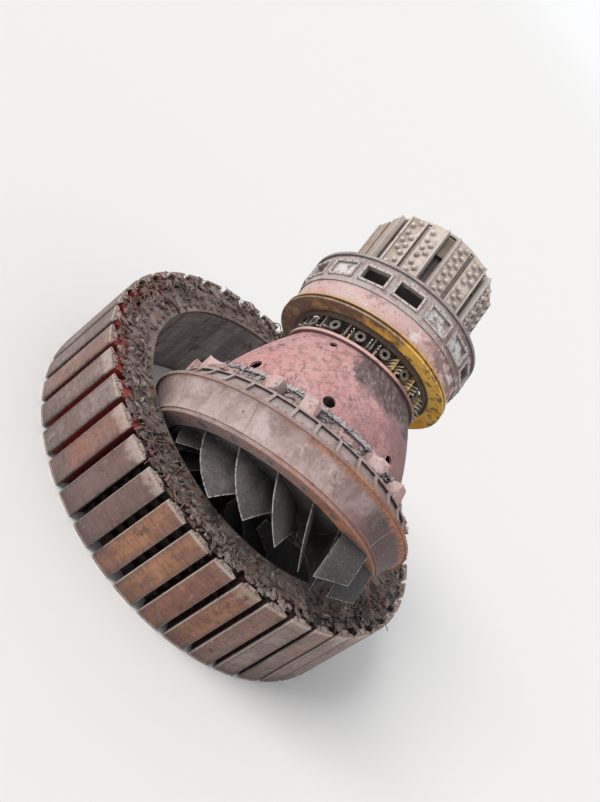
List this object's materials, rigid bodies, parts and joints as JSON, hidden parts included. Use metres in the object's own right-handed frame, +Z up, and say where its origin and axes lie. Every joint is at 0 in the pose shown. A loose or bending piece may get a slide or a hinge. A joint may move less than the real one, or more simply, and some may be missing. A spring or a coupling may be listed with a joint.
{
  "type": "wrecked hydroelectric generating unit",
  "caption": "Salient-pole generator rotor ring lying flat, with its turbine cover, thrust cone, bearing housing and bolted rotor hub leaning inside it.",
  "frame": {"origin": "centre of the pole ring's lower face", "axes": "+Z up the pole ring's own axis; the turbine's axis leans from +Z towards +Y; +X to the right"},
  "size_m": [11.8, 11.7972, 9.8722],
  "materials": {
    "rim_laminations": "rough",
    "clamp_plate": "rough",
    "brake_steel": "worn",
    "pole_iron": "matt",
    "pole_face": "worn",
    "coil_paint": "matt",
    "pole_end": "worn",
    "cover_paint": "worn",
    "cover_edge": "rough",
    "pocket_paint": "worn",
    "panel_paint": "worn",
    "block_paint": "worn",
    "machined_steel": "worn",
    "vane_steel": "worn",
    "runner_steel": "worn",
    "cone_paint": "worn",
    "hatch_paint": "worn",
    "tank_paint": "matt",
    "pipe_steel": "worn",
    "yellow_paint": "worn",
    "housing_paint": "worn",
    "frame_steel": "worn",
    "white_patch": "worn",
    "flange_steel": "worn",
    "hub_iron": "rough",
    "pad_steel": "worn",
    "bar_steel": "worn"
  },
  "bodies": {
    "root": {"rim_stack": "rim_laminations", "lower_clamp_plate": "clamp_plate", "upper_clamp_plate": "clamp_plate", "brake_track": "brake_steel", "rim_keys": "clamp_plate", "pole_cores": "pole_iron", "pole_shoes": "pole_face", "pole_coils": "coil_paint", "pole_end_plates": "pole_end", "cover_band": "cover_paint", "cover_lower_ring": "cover_edge", "cover_flange": "cover_edge", "pocket_wall": "pocket_paint", "cover_ribs": "pocket_paint", "pocket_covers": "panel_paint", "pocket_ledge": "pocket_paint", "bearing_blocks": "block_paint", "vane_stems": "machined_steel", "guide_vanes": "vane_steel", "runner_crown": "runner_steel", "runner_blades": "runner_steel", "runner_band": "runner_steel", "cone_foot_flange": "cone_paint", "thrust_cone": "cone_paint", "cone_hatches": "hatch_paint", "cone_top_flange": "cone_paint", "bearing_tank": "tank_paint", "pipe_stubs": "pipe_steel", "ring_brackets": "tank_paint", "yellow_ring": "yellow_paint", "plain_ring": "housing_paint", "window_ring": "housing_paint", "window_frames": "frame_steel", "window_covers": "white_patch", "window_top_flange": "flange_steel", "shaft": "machined_steel", "hub_core": "hub_iron", "hub_pads": "pad_steel", "pad_bars": "bar_steel", "hub_top_plate": "pad_steel"}
  },
  "joints": []
}
